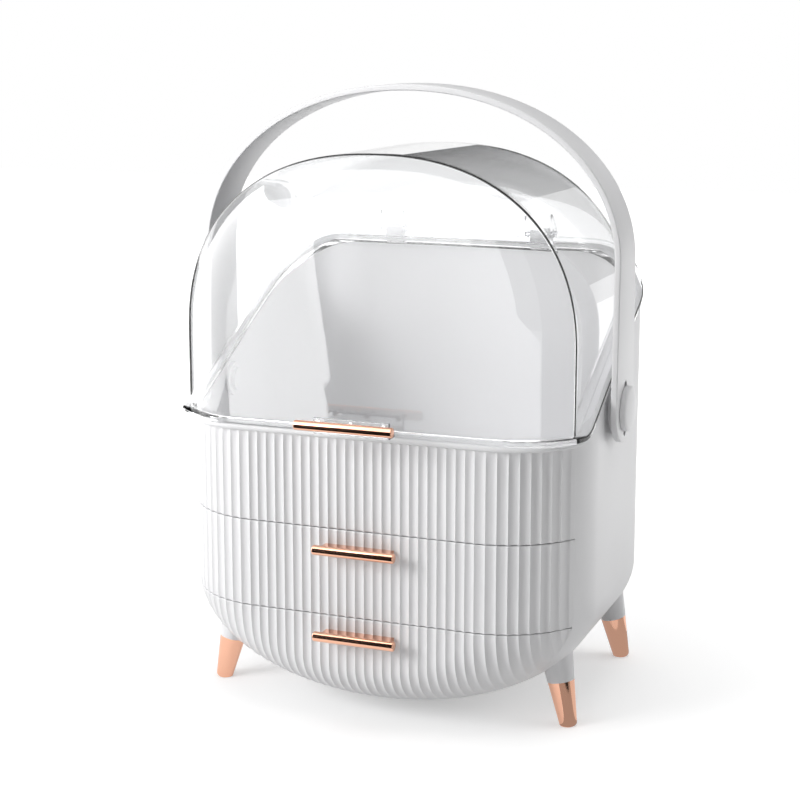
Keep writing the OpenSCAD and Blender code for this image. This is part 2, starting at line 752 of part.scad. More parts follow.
module carry_handle() {
    top = handle_arch_z + handle_rise;
    r = handle_end_w / 2;
    color("white") difference() {
        intersection() {
            translate([0, pivot_y + reach / 4, 0]) rotate([90, 0, 0]) linear_extrude(reach / 2)
                difference() {
                    handle_arch(0, pivot_z - 2 * r);
                    handle_arch(handle_t, pivot_z - 2 * r - 1);
                }
            across(-reach, reach) {
                translate([pivot_y, pivot_z]) circle(r = r);
                polygon([[pivot_y - r, pivot_z], [pivot_y + r, pivot_z],
                    [pivot_y + handle_top_w / 2, top + 1], [pivot_y - handle_top_w / 2, top + 1]]);
            }
        }
        for (s = [-1, 1])
            translate([s * (handle_half - 2 * handle_t), pivot_y, pivot_z]) rotate([0, s * 90, 0]) {
                cylinder(r = pivot_r + pivot_gap, h = 3 * handle_t);
                translate([-slot_len / 2 + slot_w / 2, -slot_w / 2, 0])
                    cube([slot_len - slot_w, slot_w, 3 * handle_t]);
                for (e = [-1, 1])
                    translate([e * (slot_len - slot_w) / 2, 0, 0]) cylinder(d = slot_w, h = 3 * handle_t);
            }
    }
}

// A round button outside, and its shaft through the handle into the housing
module pivot_button(s) {
    color("white") translate([0, pivot_y, pivot_z]) rotate([0, s * 90, 0]) {
        translate([0, 0, half - wall - nut_t - 0.5])
            cylinder(r = pivot_r, h = button_x - half + wall + nut_t + 1);
        translate([0, 0, button_x]) rotate_extrude() polygon([[0, 0], [button_r, 0],
            [button_r, button_h * 0.6], [button_r - 0.5, button_h * 0.72],
            [button_r * 0.83, button_h * 0.87], [button_r * 0.5, button_h * 0.97], [0, button_h]]);
    }
}

module left_pivot_button() { pivot_button(-1); }
module right_pivot_button() { pivot_button(1); }

module friction_washers() {
    color("dimgray") for (s = [-1, 1])
        translate([0, pivot_y, pivot_z]) rotate([0, s * 90, 0]) translate([0, 0, boss_x - side_gap])
            difference() {
                cylinder(r = boss_r - 1, h = washer_t);
                translate([0, 0, -1]) cylinder(r = pivot_r + pivot_gap, h = washer_t + 2);
            }
}

module pivot_nuts() {
    color("white") for (s = [-1, 1])
        translate([0, pivot_y, pivot_z]) rotate([0, s * 90, 0]) translate([0, 0, half - wall - nut_t])
            difference() {
                cylinder(r = pivot_r + 4, h = nut_t);
                translate([0, 0, -1]) cylinder(r = pivot_r, h = nut_t + 2);
            }
}

// ---- Legs ----

// A white cone from the metal cap up to the belly, with a spigot down into the cap
module leg(sx, sy) {
    color("white") difference() {
        intersection() {
            on_leg(sx, sy) difference() {
                union() {
                    translate([0, 0, cap_len]) cylinder(r1 = cap_r, r2 = foot_r + taper * leg_len,
                        h = leg_len - cap_len);
                    spigot(spigot_gap);
                }
                translate([0, 0, screw_seat(sy) - leg_screw_len - 4])
                    cylinder(r = leg_screw_r, h = leg_len);
                translate([0, 0, screw_seat(sy) - 0.3]) cylinder(r = leg_head_r + tap, h = leg_len);
            }
            translate([-reach, -reach, 0]) cube([2 * reach, 2 * reach, spring_z - 8]);
        }
        housing_outer();
    }
}

// What fills the cap, less a gap all round
module spigot(gap) {
    translate([0, 0, spigot_z]) cylinder(r1 = foot_r + taper * spigot_z - cap_t - gap,
        r2 = cap_r - cap_t - gap, h = cap_len - spigot_z + 0.1);
}

// A metal cap with a rounded foot, cut flat where it stands on the floor
module cap(sx, sy) {
    color("#d9a08a") intersection() {
        on_leg(sx, sy) difference() {
            translate([0, 0, -1]) rotate_extrude() polygon(concat([[0, 0]],
                [for (i = [0:6]) let (a = 90 * i / 6)
                    [foot_r - 3 + 3 * sin(a), 3 - 3 * cos(a)]],
                [[cap_r, cap_len + 1], [0, cap_len + 1]]));
            spigot(0);
        }
        translate([-reach, -reach, 0]) cube([2 * reach, 2 * reach, spring_z]);
    }
}

module leg_front_left() { leg(-1, -1); }
module leg_front_right() { leg(1, -1); }
module leg_rear_left() { leg(-1, 1); }
module leg_rear_right() { leg(1, 1); }
module cap_front_left() { cap(-1, -1); }
module cap_front_right() { cap(1, -1); }
module cap_rear_left() { cap(-1, 1); }
module cap_rear_right() { cap(1, 1); }

module leg_screws() {
    color("silver") for (sx = [-1, 1]) for (sy = [-1, 1])
        on_leg(sx, sy) translate([0, 0, screw_seat(sy)]) {
            translate([0, 0, -leg_screw_len])
                cylinder(r = leg_screw_r - 0.05, h = leg_screw_len + leg_head_h / 2);
            cylinder(r = leg_head_r, h = leg_head_h);
        }
}

housing_shell();
rim_lip();
upper_front_panel();
top_deck();
middle_shelf();
upper_drawer_tray();
upper_drawer_front();
upper_drawer_pull();
upper_pull_screws();
lower_drawer_tray();
lower_drawer_front();
lower_drawer_pull();
lower_pull_screws();
lid_dome();
lid_pull_bracket();
lid_pull_bar();
hinge_pins();
carry_handle();
left_pivot_button();
right_pivot_button();
friction_washers();
pivot_nuts();
leg_front_left();
leg_front_right();
leg_rear_left();
leg_rear_right();
cap_front_left();
cap_front_right();
cap_rear_left();
cap_rear_right();
leg_screws();
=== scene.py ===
"""Looks of the cosmetics box: smooth mouldings, rounded flutes, a clear lid and rose-gold trim."""
import math

import bmesh
import bpy
import numpy as np
from mathutils import Matrix, Vector


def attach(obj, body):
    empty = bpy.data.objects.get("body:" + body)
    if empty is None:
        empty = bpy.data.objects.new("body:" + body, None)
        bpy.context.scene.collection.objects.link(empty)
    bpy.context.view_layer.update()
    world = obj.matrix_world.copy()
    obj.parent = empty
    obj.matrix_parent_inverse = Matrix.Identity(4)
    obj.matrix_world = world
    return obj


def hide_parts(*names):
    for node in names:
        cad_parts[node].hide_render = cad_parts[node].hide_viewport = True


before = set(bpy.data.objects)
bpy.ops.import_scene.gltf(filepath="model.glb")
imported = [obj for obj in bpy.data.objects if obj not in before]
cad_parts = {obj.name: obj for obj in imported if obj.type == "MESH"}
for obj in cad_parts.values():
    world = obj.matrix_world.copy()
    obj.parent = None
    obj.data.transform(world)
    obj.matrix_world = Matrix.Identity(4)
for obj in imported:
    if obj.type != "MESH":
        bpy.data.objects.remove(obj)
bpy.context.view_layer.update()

MM = 0.001
QUARTER = math.pi / 2

# ---- The sizes of the part, in millimetres ----

# Housing: half width, flat front and back, curved belly, corners in plan
HALF, FRONT, REAR = 140.0, -93.0, 113.0
BELLY_RISE, SPRING = 76.7, 82.0
FRONT_R, REAR_R = 63.3, 44.0
WALL, LIP_H, SEAM = 2.5, 4.0, 0.8
# Fluted fronts: half width, where their edges lie, thickness, and the flutes: how far apart
# on the flat and on the corners, their depth, ridges on each half of the flat, round tops
FRONT_HALF = HALF - 7.2
CORNER_X, CORNER_Y = HALF - FRONT_R, FRONT + FRONT_R
EDGE_A = math.asin((FRONT_HALF - CORNER_X) / FRONT_R)
EDGE_Y = CORNER_Y - FRONT_R * math.cos(EDGE_A)
FRONT_RISE = BELLY_RISE * FRONT_HALF / HALF
EDGE_T, FRONT_T = 1.0, 2.5
PITCH, CORNER_PITCH, FLUTE = 6.2, 7.1, 1.2
FLAT_RIDGES, ROUND_TOP = 13, 3.0
# Levels, and the rim that climbs along the sides to the back
LOWER_TOP, UPPER_TOP, PANEL_TOP, RIM_Z = 73.7, 132.0, 192.0, 196.0
SHELL_Y = EDGE_Y + EDGE_T + 0.5
RIM_TURN_Y, RIM_BACK_Z, RIM_SLOPE, RIM_EASE = 90.0, 299.0, 0.53, 5
RIM_TURN_Z = RIM_Z + RIM_SLOPE * (RIM_TURN_Y - SHELL_Y)
COLLAR_HALF, COLLAR_Y, COLLAR_BLEND = HALF - 8.5, SHELL_Y + 16, 13.0
# Pulls: bar diameter and lengths, half lengths of the webs, places
PULL_D, PULL_LEN, LID_PULL_LEN = 6.5, 56.0, 66.0
WEB_HALF, BRACKET_HALF = 23.5, 25.5
PULL_Y, LID_PULL_Y, LID_PULL_Z = -103.0, -118.0, 204.8
UPPER_PULL_Z, LOWER_PULL_Z = UPPER_TOP - 11.9, LOWER_TOP - 11.5
# Lid: a superellipse arch over upright sides, its flange and its hinge
LID_HALF, ARCH_Z, ARCH_RISE, ARCH_N = 134.0, 250.0, 121.0, 2.28
LID_EDGE_A, LID_EDGE_R, LID_REAR_R, LID_REAR = math.radians(55), 4.0, 40.0, REAR - 4
CLEAR_T, LID_GAP, FLANGE_H = 1.6, 0.2, 4.0
HINGE_X, HINGE_W, EAR_T, BARREL_R, KNUCKLE_R = 56.0, 20.0, 2.6, 4.3, 3.2
HINGE_Y, HINGE_Z = REAR + 3.7, RIM_BACK_Z + 5.2
# Handle: a superellipse arch over two legs with round ends, and the buttons that carry it
HANDLE_HALF, HANDLE_T, HANDLE_Z, HANDLE_RISE, HANDLE_N = 147.9, 4.2, 300.0, 113.0, 2.09
HANDLE_TOP_W, HANDLE_END_W, HANDLE_EDGE = 34.0, 45.0, 0.9
SLOT_R, SLOT_HALF = 3.0, 18.5
PIVOT_Y, PIVOT_Z, BUTTON_R, BUTTON_H, SHAFT_R = 4.0, 205.0, 15.0, 5.0, 8
BOSS_R, BOSS_X = 16.0, 142.2
SIDES = ((-1, "left"), (1, "right"))


# ---- Mesh helpers ----

def mesh_object(name, verts, faces):
    """A linked object whose mesh has these points and faces as they are."""
    me = bpy.data.meshes.new(name)
    me.from_pydata(verts, [], faces)
    ob = bpy.data.objects.new(name, me)
    bpy.context.scene.collection.objects.link(ob)
    return ob, me


def in_metres(points):
    return [tuple(c * MM for c in p) for p in points]


def make(name, verts, faces, body, slot, material, replaces=(), sharp=32, bevel=0.0):
    """One piece from points in millimetres, shaded smooth except at its sharp edges."""
    ob, me = mesh_object(name, in_metres(verts), [tuple(f) for f in faces])
    bm = bmesh.new()
    bm.from_mesh(me)
    bmesh.ops.remove_doubles(bm, verts=bm.verts, dist=2e-6)
    bmesh.ops.dissolve_degenerate(bm, edges=bm.edges, dist=1e-7)
    bmesh.ops.recalc_face_normals(bm, faces=bm.faces)
    if bevel:
        edges = [e for e in bm.edges
                 if len(e.link_faces) == 2 and e.calc_face_angle(0) > math.radians(40)]
        bmesh.ops.bevel(bm, geom=edges, offset=bevel * MM, segments=2, profile=0.5,
                        affect="EDGES")
    bm.to_mesh(me)
    bm.free()
    me.shade_smooth()
    me.set_sharp_from_angle(angle=math.radians(sharp))
    me.materials.append(material)
    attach(ob, body)
    if replaces:
        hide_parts(*replaces)
    return ob


class Build:
    """Points and faces that pile up before they become one piece."""

    def __init__(self):
        self.v, self.f = [], []

    def rows(self, rows, close_u=False, close_v=False):
        """Quads between rows of points."""
        base, n, m = len(self.v), len(rows[0]), len(rows)
        for r in rows:
            self.v.extend(tuple(p) for p in r)
        for j in range(m if close_v else m - 1):
            for i in range(n if close_u else n - 1):
                a, b = base + j * n, base + (j + 1) % m * n
                self.f.append((a + i, a + (i + 1) % n, b + (i + 1) % n, b + i))

    def face(self, points):
        base = len(self.v)
        self.v.extend(tuple(p) for p in points)
        self.f.append(tuple(range(base, base + len(points))))

    def lathe(self, profile, place, n=64):
        """A turned shape: profile as (radius, height), place maps (x, y, z) about the Z axis."""
        turns = [2 * math.pi * i / n for i in range(n)]
        rings = [[place(r * math.cos(a), r * math.sin(a), h) for a in turns] for r, h in profile]
        self.rows(rings, close_u=True)
        for end in (0, -1):
            if profile[end][0] > 1e-6:
                self.face(rings[end])

    def prism(self, outline, place, lo, hi):
        """An outline pulled along one direction: place(u, v, w) for w from lo to hi."""
        ends = [[place(u, v, w) for u, v in outline] for w in (lo, hi)]
        self.rows(ends, close_u=True)
        for end in ends:
            self.face(end)

    def done(self, name, *args, **kw):
        return make(name, self.v, self.f, *args, **kw)


def along_x(x0, y0, z0, s=1):
    """Places a lathe's axis along X, pointing to s."""
    return lambda x, y, z: (x0 + s * z, y0 + x, z0 + y)


def across(u, v, w):
    """Places a prism's outline in the YZ plane and pulls it along X."""
    return w, u, v


def rim(y):
    """Height of the rim line, with its two bends eased."""
    ys = [-500, SHELL_Y, RIM_TURN_Y, REAR, 500]
    zs = [RIM_Z, RIM_Z, RIM_TURN_Z, RIM_BACK_Z, RIM_BACK_Z]
    return float(np.mean(np.interp(y + np.linspace(-RIM_EASE, RIM_EASE, 11), ys, zs)))


def fillet(r, a0, a1, cx, cy, n=5):
    """Points on an arc, angles in degrees."""
    return [(cx + r * math.cos(math.radians(a0 + (a1 - a0) * i / n)),
             cy + r * math.sin(math.radians(a0 + (a1 - a0) * i / n))) for i in range(n + 1)]


def power(v, n):
    """A sine or cosine bent from a circle's to a superellipse's."""
    return math.copysign(abs(v) ** (2 / n), v)


def blend_loops(a, b, t):
    return [(p[0] + (q[0] - p[0]) * t, p[1] + (q[1] - p[1]) * t) for p, q in zip(a, b)]


# ---- Materials ----

def node(nt, kind, **settings):
    n = nt.nodes.new("ShaderNode" + kind)
    for k, v in settings.items():
        setattr(n, k, v)
    return n


def nodes_of(name):
    m = bpy.data.materials.new(name)
    m.use_nodes = True
    nt = m.node_tree
    return m, nt, nt.nodes["Principled BSDF"]


def noise(nt, where, scale, detail):
    n = node(nt, "TexNoise")
    n.inputs["Scale"].default_value = scale
    n.inputs["Detail"].default_value = detail
    nt.links.new(where.outputs["Object"], n.inputs["Vector"])
    return n.outputs["Fac"]


def surface(name, color, rough, spread=0.0, grain=0.0, grain_size=2500.0, patch=0.0, **extra):
    """A moulded, plated or rubber surface: roughness and colour drift over a fine skin.

    spread is how far the roughness drifts, patch how far the colour darkens, and grain the
    strength of the skin. What is the same all over is set on the shader's own sockets.
    """
    m, nt, b = nodes_of(name)
    b.inputs["Roughness"].default_value = rough
    for k, v in extra.items():
        b.inputs[k].default_value = v
    where = node(nt, "TexCoord")
    drift = noise(nt, where, 14.0, 4.0)
    if spread:
        r = node(nt, "MapRange")
        r.inputs["To Min"].default_value = rough - spread
        r.inputs["To Max"].default_value = rough + spread
        nt.links.new(drift, r.inputs["Value"])
        nt.links.new(r.outputs["Result"], b.inputs["Roughness"])
    tint = node(nt, "Mix", data_type="RGBA")
    tint.inputs["A"].default_value = (*color, 1)
    tint.inputs["B"].default_value = (*[c * (1 - patch) for c in color], 1)
    nt.links.new(drift, tint.inputs["Factor"])
    nt.links.new(tint.outputs["Result"], b.inputs["Base Color"])
    if grain:
        bump = node(nt, "Bump")
        bump.inputs["Strength"].default_value = grain
        bump.inputs["Distance"].default_value = 0.0002
        nt.links.new(noise(nt, where, grain_size, 3.0), bump.inputs["Height"])
        nt.links.new(bump.outputs["Normal"], b.inputs["Normal"])
    return m


METAL = {"Metallic": 1.0}
WHITE = surface("white_abs", (0.80, 0.80, 0.81), 0.38, spread=0.05, grain=0.015, patch=0.015)
FLUTED = surface("white_fluted_abs", (0.80, 0.80, 0.81), 0.36, spread=0.05, grain=0.05,
                 patch=0.015)
INNER = surface("white_inner_abs", (0.78, 0.78, 0.79), 0.5, spread=0.05, grain=0.08, patch=0.02)
ROSE = surface("rose_gold_plating", (0.90, 0.50, 0.35), 0.09, spread=0.035, grain=0.04,
               grain_size=900.0, patch=0.05, **METAL)
STEEL = surface("zinc_steel", (0.62, 0.62, 0.64), 0.32, spread=0.08, grain=0.2, patch=0.08,
                **METAL)
RUBBER = surface("washer_rubber", (0.10, 0.10, 0.105), 0.75, spread=0.08, grain=0.4, patch=0.1)
CLEAR = surface("clear_polystyrene", (0.952, 0.955, 0.960), 0.0, grain=0.006, grain_size=220.0,
                patch=0.01, **{"Transmission Weight": 1.0, "IOR": 1.5})


# ---- Housing ----

def egg_row(h, y, top, n=72, m=12):
    """One section of the housing, from the top right round the belly to the top left."""
    rise = BELLY_RISE * h / HALF
    angles = [math.pi * i / n for i in range(n + 1)]
    right = [(h, y, top + (SPRING - top) * i / m) for i in range(m)]
    belly = [(h * math.cos(a), y, SPRING - rise * math.sin(a)) for a in angles]
    left = [(-h, y, SPRING + (top - SPRING) * (i + 1) / m) for i in range(m)]
    return right + belly + left


def shell_sections():
    """Half widths and depths of the housing's sections, outside and inside.

    They start a hair beyond the edges of the fluted fronts.
    """
    a0 = EDGE_A + 0.0022
    front = [a0 + (QUARTER - a0) * i / 8 for i in range(9)]
    rear = [math.radians(5 * i) for i in range(19)]
    outer = [(CORNER_X + FRONT_R * math.sin(a), CORNER_Y - FRONT_R * math.cos(a)) for a in front]
    outer += [(HALF, y) for y in np.arange(-24, 69, 6.0)]
    w, r = HALF - WALL, REAR_R - WALL
    inner = []
    for h, y in outer:
        t = min(1, max(0, (y - COLLAR_Y) / COLLAR_BLEND))
        inner.append((COLLAR_HALF + (w - COLLAR_HALF) * (t * t * (3 - 2 * t)), max(y, SHELL_Y)))
    inner[0] = (COLLAR_HALF, SHELL_Y)
    for line, h, radius in ((outer, HALF, REAR_R), (inner, w, r)):
        line += [(h - radius * (1 - math.cos(a)), REAR - REAR_R + radius * math.sin(a))
                 for a in rear]
    return outer, inner


def housing_moulding():
    outer, inner = shell_sections()
    rows_o, rows_i = [[egg_row(h, y, rim(y) - LIP_H) for h, y in line] for line in (outer, inner)]
    edge = egg_row(outer[0][0] + 0.06, SHELL_Y, rim(SHELL_Y) - LIP_H)
    b = Build()
    b.rows([rows_i[0], edge] + rows_o)
    b.rows(rows_i)
    for end in (0, -1):
        b.rows([[o[end] for o in rows_o], [i[end] for i in rows_i]])
    b.face(rows_o[-1])
    b.face(rows_i[-1])
    b.face([rows_o[-1][0], rows_o[-1][-1], rows_i[-1][-1], rows_i[-1][0]])
    b.done("housing_moulding", "box", "white_shell", WHITE, replaces=("housing_shell",), sharp=40)


def pivot_boss(s, side):
    """The round boss under one end of the handle, with a low step round its foot."""
    x0, step = HALF - 1.0, BOSS_R + 1.5
    height = BOSS_X - x0
    b = Build()
    b.lathe([(0, 0), (step, 0), (step, 1.0)] + fillet(0.5, 180, 90, BOSS_R + 0.5, 1.0, 3)[1:]
            + [(BOSS_R, 1.6), (BOSS_R, height - 0.5), (BOSS_R - 0.5, height), (0, height)],
            along_x(s * x0, PIVOT_Y, PIVOT_Z, s))
    b.done("pivot_boss_" + side, "box", "white_shell", WHITE)


def hinge_knuckle(s, side):
    """The white knuckle of one hinge, which grows out of the back below the rim."""
    half = HINGE_W / 2 - EAR_T - 0.4
    back, root = HINGE_Y + BARREL_R, RIM_BACK_Z - 27
    outline = [(REAR - 1.0, root + 1), (REAR, root)]
    outline += [(REAR + (back - REAR) * t, root + (HINGE_Z - 13 - root) * t ** 0.6)
                for t in (0.15, 0.35, 0.6, 0.85)]
    outline += [(back, HINGE_Z - 12), (HINGE_Y + KNUCKLE_R, HINGE_Z - 4)]
    outline += fillet(KNUCKLE_R, 0, 180, HINGE_Y, HINGE_Z, 14)
    outline += [(REAR + 1.4, HINGE_Z - 5), (REAR + 1.4, RIM_BACK_Z - LIP_H - 0.6),
                (REAR - 1.0, RIM_BACK_Z - LIP_H - 1.5)]
    b = Build()
    b.prism(outline, across, s * HINGE_X - half, s * HINGE_X + half)
    b.done("hinge_knuckle_" + side, "box", "white_shell", WHITE, bevel=0.3)


def plan_loop(h, front, back, rf, rr, nf=10, nc=28, ns=40, nr=20, nb=10):
    """A rounded plan outline as one closed loop of points, counted the same for every size."""
    y0, y1 = front + rf, back - rr
    corner = [QUARTER * i / nc for i in range(nc)]
    rear = [QUARTER * i / nr for i in range(nr)]
    right = [((h - rf) * i / nf, front) for i in range(nf)]
    right += [(h - rf + rf * math.sin(a), front + rf - rf * math.cos(a)) for a in corner]
    right += [(h, y0 + (y1 - y0) * i / ns) for i in range(ns)]
    right += [(h - rr + rr * math.cos(a), back - rr + rr * math.sin(a)) for a in rear]
    right += [((h - rr) * (1 - i / nb), back) for i in range(nb + 1)]
    return right + [(-x, y) for x, y in right[-2:0:-1]]


def rim_bead():
    """The white lip round the rim."""
    outer = plan_loop(HALF + 0.6, FRONT - 1.5, REAR + 1, FRONT_R - 10, REAR_R + 1)
    inner = plan_loop(HALF - 3, FRONT + 3, REAR - 3, FRONT_R - 3, REAR_R - 3)
    # Its section: share of the way from the outer to the inner loop, height over the rim
    section = [(0.42, -4.0), (0.2, -3.8), (0.06, -3.3), (0.0, -2.6), (0.0, -1.5), (0.06, -0.8),
               (0.2, -0.25), (0.42, -0.02), (0.9, 0.0), (1.0, -0.3), (1.0, -4.0)]
    b = Build()
    b.rows([[(x, y, rim(y) + dz) for x, y in blend_loops(outer, inner, t)] for t, dz in section],
           close_u=True, close_v=True)
    b.done("rim_bead", "box", "white_shell", WHITE, replaces=("rim_lip",))


# ---- Fluted fronts ----

def front_at(s):
    """Depth of the front at a share s of its half width."""
    x = np.maximum(0.0, s * FRONT_HALF - CORNER_X)
    return CORNER_Y - np.sqrt(np.maximum(0.0, FRONT_R ** 2 - x ** 2))


def gauge_at(s):
    """The front's thickness measured along Y."""
    x = np.clip((s * FRONT_HALF - CORNER_X) / FRONT_R, 0, 1)
    return FRONT_T / np.maximum(0.3, np.sqrt(1 - x * x))


def belly_at(x):
    """Height of the belly's edge over x."""
    return SPRING - FRONT_RISE * np.sqrt(np.maximum(0, 1 - (x / FRONT_HALF) ** 2))


def columns(per_flute=12):
    """Places across the front as (x, phase). A ridge stands wherever the phase is whole.

    The ridges of the flat middle stand closer together than those round the corners. Behind
    the last one a plain strip runs to the edge.
    """
    length = CORNER_X + FRONT_R * EDGE_A
    ridges = [PITCH * (k + 0.5) for k in range(FLAT_RIDGES)]
    while ridges[-1] + CORNER_PITCH < length - 1.5:
        ridges.append(ridges[-1] + CORNER_PITCH)
    shares = [i / per_flute for i in range(per_flute)]
    places = [(0.0, 0.5)] + [(PITCH * t, 0.5 + t) for t in shares[1:per_flute // 2]]
    for u0, u1 in zip(ridges, ridges[1:]):
        places += [(u0 + (u1 - u0) * t, 1.0 + t) for t in shares]
    places += [(ridges[-1] + (length - ridges[-1]) * i / 6, 1.0) for i in range(7)]
    right = [(u if u < CORNER_X else CORNER_X + FRONT_R * math.sin((u - CORNER_X) / FRONT_R), f)
             for u, f in places]
    return [(-x, f) for x, f in right[:0:-1]] + right


def levels(z0, z1, low, rows):
    """Heights of a front's rows down to low, and how far each steps back as the edges round off.

    A front that has no lower edge of its own (z0 is 0) ends on the belly, where its rows
    crowd together.
    """
    t = np.linspace(0, 1, rows + 1)
    t = t if z0 else 1 - (1 - t) ** 1.5
    # Distances from an edge of its last rows, and how far the outer three of them step back
    *edge, inner = 0.0, 0.12, 0.35, 0.8
    round_off = (0.55, 0.22, 0.05)
    top = z1 - inner
    z = [np.full(len(low), z1 - d) for d in (*edge, inner)]
    z += [np.minimum(top, top + (low - top) * v) for v in t[1:]]
    if z0:
        z[-1] = low + inner
        z += [low + d for d in edge[::-1]]
    back = np.zeros(len(z))
    back[:3] = round_off
    if z0:
        back[-3:] = round_off[::-1]
    return np.array(z), back[:, None]


def fluted(name, z0, z1, rows, node_name, body):
    """One fluted front between two heights: flutes as rounded hollows that fade at the edges."""
    cols = [c for c in columns() if belly_at(c[0]) < z1 - 0.6]
    x, phase = np.array(cols).T
    z, back = levels(z0, z1, np.maximum(z0, belly_at(x)), rows)
    xs = np.tile(x, (len(z), 1))
    # k: how far down the belly. s: share of the half width that the belly leaves at that height
    k = np.clip((SPRING - z) / FRONT_RISE, 0, 1)
    s = np.where(z >= SPRING, np.abs(xs) / FRONT_HALF, np.sqrt((xs / FRONT_HALF) ** 2 + k ** 2))
    s = np.minimum(s, 1.0)
    # The flutes fade over the last millimetre at the sides, and over five at the belly's bottom
    reach = (1 - s) * (FRONT_HALF * (1 - k) + FRONT_RISE * k)
    fade = np.clip(reach / (1.0 + 4 * k), 0, 1)
    fade = fade * fade * (3 - 2 * fade)
    share = phase % 1.0
    groove = 4 * share * (1 - share)
    # Only the top panel's flutes end in round tops. The drawers' run on over the seams
    end = np.clip((z1 - z) / ROUND_TOP, 0, 1) if name == "fluted_panel" else np.ones_like(z)
    y = front_at(s) + FLUTE * groove * fade * np.sqrt(1 - (1 - end) ** 2) + back
    back_y = np.maximum(np.minimum(front_at(s) + gauge_at(s), EDGE_Y + EDGE_T), y + 0.3)
    last = len(z) - 1
    behind = [0, len(z) // 3, 2 * len(z) // 3, last] if z0 else [*range(0, last + 1, 4), last]
    front_rows = np.stack([xs, y, z], axis=2)
    back_rows = np.stack([xs, back_y, z], axis=2)[behind]
    b = Build()
    b.rows(front_rows)
    b.rows(back_rows)
    for e in (0, -1):
        b.rows([front_rows[e], back_rows[e]])
    for e in (0, -1):
        b.face([r[e] for r in front_rows] + [r[e] for r in back_rows[::-1]])
    b.done(name, body, "white_fluted", FLUTED, replaces=(node_name,), sharp=50)


# ---- Pulls ----

def bar(b, length, y, z):
    """A round bar along X with softened ends."""
    r, c = PULL_D / 2, 0.9
    turns = np.linspace(0, QUARTER, 6)
    half = [(0, 0)] + [(r - c + c * math.sin(a), c - c * math.cos(a)) for a in turns]
    b.lathe(half + [(p[0], length - p[1]) for p in half[::-1]], along_x(-length / 2, y, z), n=48)


def rounded_box(b, half, y0, y1, z0, z1, c):
    """A strip along X with softened long edges."""
    corners = ((y0 + c, z0 + c, 180), (y1 - c, z0 + c, 270), (y1 - c, z1 - c, 0),
               (y0 + c, z1 - c, 90))
    outline = [p for y, z, a in corners for p in fillet(c, a, a + 90, y, z, 3)]
    b.prism(outline, across, -half, half)


def pulls():
    for name, z, body, node_name in (
            ("upper_pull", UPPER_PULL_Z, "upper_drawer", "upper_drawer_pull"),
            ("lower_pull", LOWER_PULL_Z, "lower_drawer", "lower_drawer_pull")):
        b = Build()
        bar(b, PULL_LEN, PULL_Y, z)
        rounded_box(b, WEB_HALF, PULL_Y, FRONT + 1.0, z - 2.0, z + 2.0, 0.5)
        b.done(name, body, "rose_gold", ROSE, replaces=(node_name,))
    b = Build()
    bar(b, LID_PULL_LEN, LID_PULL_Y, LID_PULL_Z)
    pull = b.done("lid_pull", "lid", "rose_gold", ROSE, replaces=("lid_pull_bar",))
    pull.visible_glossy = False


# ---- Lid ----

def arch_row(h, rise, y, low, n=96, m=10):
    """One section of the lid, from its right foot over the crown to its left foot.

    All sections have their points at the same heights, and those under the foot sit on it, so
    that the side walls stay straight where the rim climbs.
    """
    half = [(h, RIM_Z + (ARCH_Z - RIM_Z) * i / m) for i in range(m)]
    half += [(h * power(math.cos(a), ARCH_N), ARCH_Z + rise * power(math.sin(a), ARCH_N))
             for a in (math.pi * i / n for i in range(n // 2 + 1))]
    start = math.asin((max(0.0, low - ARCH_Z) / rise) ** (ARCH_N / 2))
    foot = h * power(math.cos(start), ARCH_N)
    half = [(foot, low) if z < low else (x, z) for x, z in half]
    return [(x, y, z) for x, z in half] + [(-x, y, z) for x, z in half[-2::-1]]


def lid_stations(inset, n_front=14, n_edge=6, n_side=30, n_rear=16):
    """Half widths, rises and depths of the lid's sections."""
    r, rr, h = FRONT_R - inset, LID_REAR_R - inset, LID_HALF - inset
    cx = LID_HALF - FRONT_R * math.sin(LID_EDGE_A)
    f = max(0.6, LID_EDGE_R - inset)
    fy = CORNER_Y - math.sqrt((r - f) ** 2 - (h - f - cx) ** 2)
    e = math.asin((h - f - cx) / (r - f))
    front = [e * i / n_front for i in range(n_front + 1)]
    edge = [e + (QUARTER - e) * i / n_edge for i in range(1, n_edge + 1)]
    plan = [(cx + r * math.sin(a), CORNER_Y - r * math.cos(a)) for a in front]
    plan += [(h - f + f * math.sin(a), fy - f * math.cos(a)) for a in edge]
    out = [(w, (ARCH_RISE - inset) * w / h, y) for w, y in plan]
    y0, y1 = out[-1][2], LID_REAR - LID_REAR_R
    out += [(h, ARCH_RISE - inset, y0 + (y1 - y0) * i / n_side) for i in range(1, n_side)]
    for a in (QUARTER * i / n_rear for i in range(n_rear + 1)):
        d = rr * (1 - math.cos(a))
        out.append((h - d, ARCH_RISE - inset - d, y1 + rr * math.sin(a)))
    return out


# Places along the lid's straight front and rear feet, as shares of their half width
ACROSS = [1 - i / 10 for i in range(1, 20)]
# How far round its front corners the flange's outline goes beside the lid's front part
CORNER_TURN = math.radians(64)


